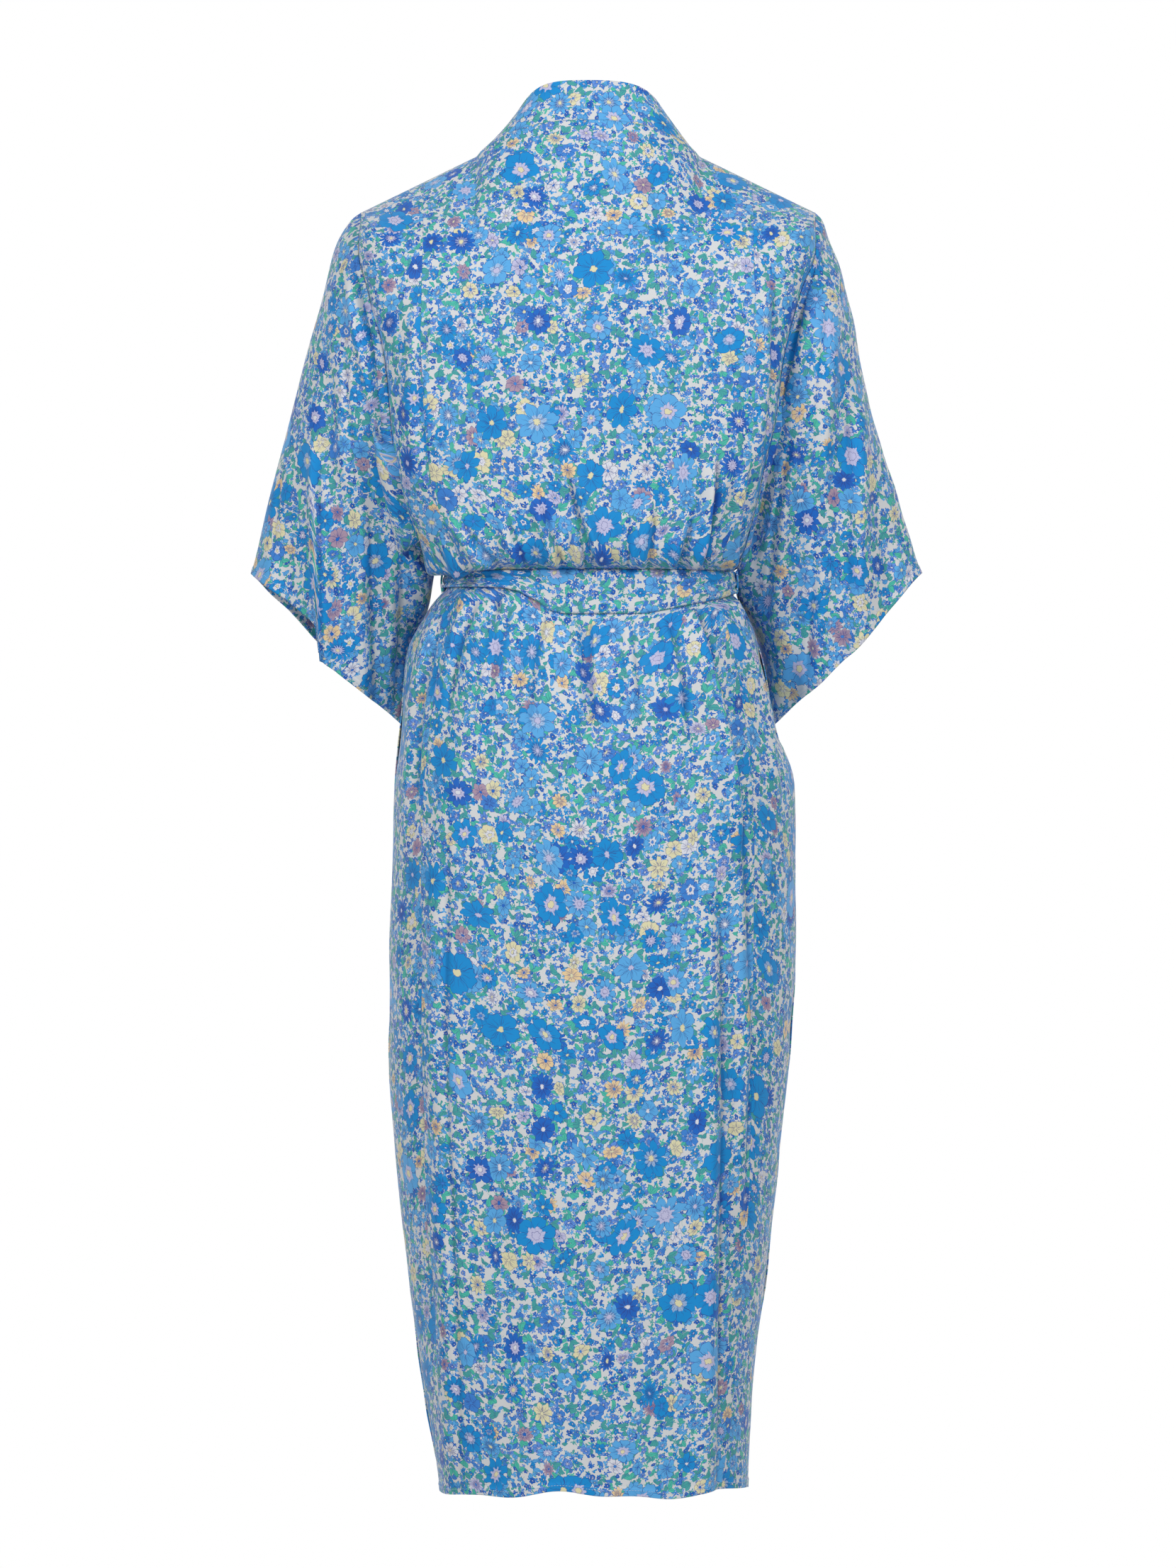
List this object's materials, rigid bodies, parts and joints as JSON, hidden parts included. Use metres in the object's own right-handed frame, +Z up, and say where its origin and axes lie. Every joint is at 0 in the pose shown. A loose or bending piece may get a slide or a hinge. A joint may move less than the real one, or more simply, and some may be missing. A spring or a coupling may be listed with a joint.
{
  "type": "belted wrap kaftan, worn shape",
  "caption": "Belted wrap kaftan with wide slanted sleeves, a standing neckband and a midi skirt, hollow and holding its worn shape.",
  "frame": {"origin": "midway between the shoulders on the shoulder line, where a wearer holds the garment up", "axes": "+Z up the wearer's back, +Y out of the wearer's back, +X to the wearer's left"},
  "size_m": [0.605, 0.2687, 1.273],
  "materials": {
    "printed_cloth": "matt viscose crepe with a dense small floral print, slight sheen",
    "printed_sleeve": "the same cloth cut across, with its print turned",
    "printed_band": "the same cloth, doubled",
    "printed_belt": "the same cloth, doubled and folded"
  },
  "bodies": {
    "root": {"back_panel": "printed_cloth", "side_back_left": "printed_cloth", "side_back_right": "printed_cloth", "front_left": "printed_cloth", "front_right": "printed_cloth", "sleeve_left": "printed_sleeve", "sleeve_right": "printed_sleeve", "neckband": "printed_band", "belt": "printed_belt", "belt_knot": "printed_belt", "belt_tail_left": "printed_belt", "belt_tail_right": "printed_belt", "belt_carrier_left": "printed_belt", "belt_carrier_right": "printed_belt"}
  },
  "joints": []
}
